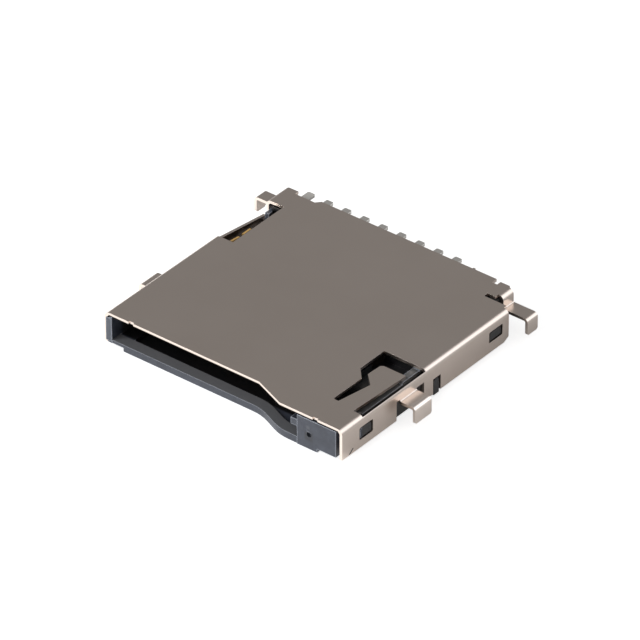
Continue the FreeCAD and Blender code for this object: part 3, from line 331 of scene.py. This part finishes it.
def moulded(name, dark, light, shading=None):
    """Glass-filled moulded plastic with a painted highlight along its rounded edges, its colour shaded by
    place with painted light and shade.
    """
    recipe = Recipe(name, light, 0.5)
    speckle = recipe.noise((9000.0, 9000.0, 9000.0), detail=3.0)
    cloud = recipe.noise((1500.0, 1500.0, 1500.0), detail=4.0)
    color = recipe.blended(recipe.between(cloud, 0.0, 1.0), dark, light)
    # painted highlight: pale grey along the rounded edges
    color = recipe.blended(recipe.edges(EDGE_REACH), color, EDGE_HIGHLIGHT_GREY)
    recipe.wire_shader("Base Color", shading(recipe, color) if shading else color)
    recipe.wire_shader("Roughness", recipe.between(speckle, 0.32, 0.46))
    recipe.relief(speckle, 0.002 * MM, 0.7)
    return recipe.material


def contact_plate():
    """The signal contacts: gold inside, dull tin-grey on the solder tails behind the base."""
    recipe = Recipe("contact_plate", PLAIN_GOLD, 0.3, metallic=0.85)
    tail = recipe.ranged(recipe.axis(recipe.place, "Y"), *TAIL_PLACE, 0.0, 1.0)
    recipe.wire_shader("Base Color", recipe.blended(tail, CONTACT_GOLD, TAIL_GREY))
    cloud = recipe.noise((2400.0, 1200.0, 2400.0), detail=3.0)
    recipe.wire_shader("Roughness", recipe.between(cloud, 0.26, 0.38))
    return recipe.material


def switch_plate():
    """The switch leaves: gold with a painted highlight at their two contact points, painted shade
    elsewhere, tin-grey on the solder tail.
    """
    recipe = Recipe("switch_plate", PLAIN_GOLD, 0.3, metallic=0.15)
    # painted highlight at the leaves' two contact points, painted shade on the rest of each leaf
    raised = recipe.calculated("MAXIMUM", *[recipe.within(point, ROOM_SOFT) for point in LEAF_POINTS])
    leaf = recipe.blended(raised, LEAF_SHADE, LEAF_GOLD)
    tail = recipe.ranged(recipe.axis(recipe.place, "Y"), *TAIL_PLACE, 0.0, 1.0)
    recipe.wire_shader("Base Color", recipe.blended(tail, leaf, TAIL_GREY))
    cloud = recipe.noise((2400.0, 1200.0, 2400.0), detail=3.0)
    recipe.wire_shader("Roughness", recipe.between(cloud, 0.30, 0.42))
    recipe.relief(cloud, 0.001 * MM, 0.5)
    return recipe.material


def drawn_wire():
    """Hard drawn spring wire."""
    recipe = Recipe("drawn_wire", (0.56, 0.55, 0.54), 0.28, metallic=1.0)
    grain = recipe.noise((6000.0, 500.0, 6000.0), detail=3.0)
    recipe.wire_shader("Roughness", recipe.between(grain, 0.22, 0.36))
    return recipe.material


def welded_copy(node, name):
    """A copy of a CAD node with its loose triangles joined and its flat faces made whole."""
    mesh = node.data.copy()
    mesh.name = name
    work = bmesh.new()
    work.from_mesh(mesh)
    bmesh.ops.remove_doubles(work, verts=work.verts, dist=WELD)
    bmesh.ops.dissolve_limit(work, angle_limit=FLAT_ANGLE, verts=work.verts, edges=work.edges)
    for face in work.faces:
        face.smooth = True
    work.to_mesh(mesh)
    work.free()
    mesh.materials.clear()
    return placed(name, mesh)


def break_edges(piece, radius):
    """A bevel in two steps, given back for further settings."""
    bevel = piece.modifiers.new("broken_edges", "BEVEL")
    bevel.width = radius
    bevel.segments = 2
    return bevel


def finished(node_name, body, material, edge_radius):
    """The visible form of a CAD node: same shape, with its sharp edges slightly broken."""
    piece = welded_copy(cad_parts[node_name], node_name + "_finished")
    piece.data.set_sharp_from_angle(angle=SHARP_ANGLE)
    piece.data.materials.append(material)
    bevel = break_edges(piece, edge_radius)
    bevel.limit_method = "ANGLE"
    bevel.angle_limit = EDGE_ANGLE
    bevel.harden_normals = True
    weighted = piece.modifiers.new("flat_faces", "WEIGHTED_NORMAL")
    weighted.keep_sharp = True
    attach(piece, body)
    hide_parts(node_name)


def block(name, low, high, material, edge_radius, twist=0.0):
    """A small box of the housing from its low to its high corner, turned about its own X axis."""
    low, high = np.array(low) * MM, np.array(high) * MM
    signs = np.array([[x, y, z] for x in (-1, 1) for y in (-1, 1) for z in (-1, 1)])
    corners = signs * (high - low) / 2
    turned = corners.copy()
    turned[:, 1] = corners[:, 1] * math.cos(twist) - corners[:, 2] * math.sin(twist)
    turned[:, 2] = corners[:, 1] * math.sin(twist) + corners[:, 2] * math.cos(twist)
    faces = [(0, 1, 3, 2), (4, 6, 7, 5), (0, 4, 5, 1), (2, 3, 7, 6), (0, 2, 6, 4), (1, 5, 7, 3)]
    mesh = bpy.data.meshes.new(name)
    mesh.from_pydata((turned + (low + high) / 2).tolist(), [], faces)
    mesh.materials.append(material)
    piece = placed(name, mesh)
    break_edges(piece, edge_radius)
    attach(piece, "housing")


def add_floor():
    """The table: white to the camera, in reflections brightest in front of the part, open from below."""
    half, low = 0.5, -0.01 * MM
    mesh = bpy.data.meshes.new("table")
    corners = [(-half, -half, low), (half, -half, low), (half, half, low), (-half, half, low)]
    mesh.from_pydata(corners, [], [(0, 1, 2, 3)])
    table = placed("table", mesh)
    recipe = Recipe("white_table", (0.9, 0.9, 0.9), 0.9)
    recipe.set_shader("Specular IOR Level", 0.0)
    recipe.set_shader("Emission Color", (1.0, 1.0, 1.0, 1.0))
    slant = recipe.add("ShaderNodeVectorMath", operation="DOT_PRODUCT")
    slant.inputs[1].default_value = TABLE_ACROSS
    recipe.link(recipe.place, slant.inputs[0])
    along = slant.outputs["Value"]
    behind = recipe.ranged(along, NEAR_LINE, REAR_LINE, TABLE_NEAR, TABLE_REAR)
    extra = recipe.ranged(along, FRONT_LINE, NEAR_LINE, TABLE_FRONT - TABLE_NEAR, 0.0, smooth=True)
    rays = recipe.add("ShaderNodeLightPath")
    mirrored = recipe.calculated(
        "MULTIPLY", recipe.calculated("ADD", behind, extra), rays.outputs["Is Glossy Ray"])
    seen = recipe.scaled(rays.outputs["Is Camera Ray"], TABLE_SEEN)
    recipe.wire_shader("Emission Strength", recipe.calculated("ADD", mirrored, seen))
    sides = recipe.add("ShaderNodeMixShader")
    recipe.link(recipe.add("ShaderNodeNewGeometry").outputs["Backfacing"], sides.inputs[0])
    recipe.link(recipe.shader.outputs[0], sides.inputs[1])
    recipe.link(recipe.add("ShaderNodeBsdfTransparent").outputs[0], sides.inputs[2])
    recipe.link(sides.outputs[0], recipe.tree.nodes["Material Output"].inputs["Surface"])
    mesh.materials.append(recipe.material)


def add_world():
    """White for the camera; for the part a dim sky with a bright panel behind it on the right."""
    world = bpy.data.worlds.new("light_tent")
    bpy.context.scene.world = world
    world.use_nodes = True
    graph = Graph(world.node_tree)
    back = world.node_tree.nodes["Background"]
    towards = graph.add("ShaderNodeVectorMath", operation="DOT_PRODUCT")
    towards.inputs[1].default_value = PANEL_TOWARDS.normalized()
    graph.link(graph.add("ShaderNodeTexCoord").outputs["Generated"], towards.inputs[0])
    panel = graph.ranged(towards.outputs["Value"], PANEL_EDGE, PANEL_FULL, 0.0, 1.0, smooth=True)
    rays = graph.add("ShaderNodeLightPath")
    mirrored = graph.calculated("MULTIPLY", panel, rays.outputs["Is Glossy Ray"])
    sky = graph.blended(mirrored, (SKY, SKY, SKY), PANEL_COLOR)
    graph.link(graph.blended(rays.outputs["Is Camera Ray"], sky, (1.0, 1.0, 1.0)), back.inputs["Color"])
    back.inputs["Strength"].default_value = 1.0


def add_soft_lamp(name, azimuth, elevation, distance, size, power):
    """A square softbox that looks at the part from a direction."""
    data = bpy.data.lights.new(name, "AREA")
    data.shape = "SQUARE"
    data.size = size
    data.energy = power
    lamp = placed(name, data)
    back, _, _ = view_directions(math.radians(azimuth), math.radians(elevation))
    lamp.location = back * distance
    lamp.rotation_euler = back.to_track_quat("Z", "Y").to_euler()


add_camera()
add_world()
add_floor()
add_soft_lamp("front_softbox", azimuth=-15.0, elevation=28.0, distance=0.40, size=0.24, power=0.34)
add_soft_lamp("edge_softbox", azimuth=-42.0, elevation=40.0, distance=0.40, size=0.12, power=0.36)

SHEET = plated_sheet()
BASE_PLASTIC = moulded("base_plastic", *BASE_TONES, base_shading)
# painted light: a lighter copy of the base plastic for the corner pieces
CORNER_LIT_PLASTIC = moulded("corner_lit_plastic", *CORNER_LIT_TONES)
# painted light: the slider plastic made light so its edge strip looks lit
SLIDER_PLASTIC = moulded("slider_plastic", *SLIDER_TONES, slider_shading)
CONTACT = contact_plate()
SWITCH = switch_plate()
WIRE = drawn_wire()

finished("metal_shell", "housing", SHEET, 0.018 * MM)
finished("base_housing", "housing", BASE_PLASTIC, 0.02 * MM)
finished("slider", "slider_body", SLIDER_PLASTIC, 0.02 * MM)
for number in range(1, 9):
    finished("contact_%d" % number, "housing", CONTACT, 0.01 * MM)
for leaf in ("switch_spring_leaf", "switch_fixed_leaf"):
    finished(leaf, "housing", SWITCH, 0.008 * MM)

# small forms beyond the CAD, from low to high corner in millimetres
block("base_corner_post", (-7.08, 5.22, 0.34), (-6.84, 6.76, 1.38),
      CORNER_LIT_PLASTIC, 0.02 * MM)
block("base_front_corner", (-7.22, -6.36, 0.30), (-6.88, -6.30, 1.58),
      CORNER_LIT_PLASTIC, 0.01 * MM)
# painted shade: a thin unlit sheet for the slit at the foot of the right wall
block("foot_slit_shade", (7.290, -6.575, 0.320), (7.303, -6.205, 0.390),
      SLIDER_PLASTIC, 0.001 * MM, twist=SLIT_SLANT)
block("rear_edge_bit", (3.88, 7.03, 1.74), (4.02, 7.14, 1.85), SHEET, 0.02 * MM)

for wire in ("cam_pin", "slider_spring"):
    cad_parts[wire].data.materials.clear()
    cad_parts[wire].data.materials.append(WIRE)

bpy.context.scene.view_settings.view_transform = "Standard"
